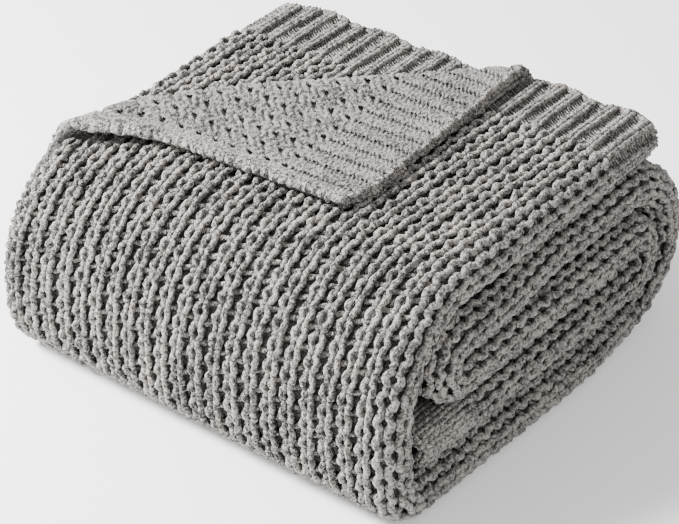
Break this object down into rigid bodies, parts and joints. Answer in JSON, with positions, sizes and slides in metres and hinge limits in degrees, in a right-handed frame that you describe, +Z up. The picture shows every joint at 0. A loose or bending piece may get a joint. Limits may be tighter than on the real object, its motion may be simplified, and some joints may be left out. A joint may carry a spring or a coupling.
{
  "type": "folded knit throw blanket",
  "caption": "Chunky rib-knit throw blanket, folded in thirds and then over and over into a thick stack, with one hem corner turned over to show its reverse side.",
  "frame": {"origin": "under the middle of the folded stack, on the surface it rests on", "axes": "+X across the ribs, towards the end that shows the folded edges; +Y along the ribs, from the front roll to the hem on top; +Z up"},
  "size_m": [0.4367, 0.4438, 0.2247],
  "materials": {
    "yarn": "soft matte chenille yarn"
  },
  "bodies": {
    "root": {"throw": "yarn"}
  },
  "joints": []
}
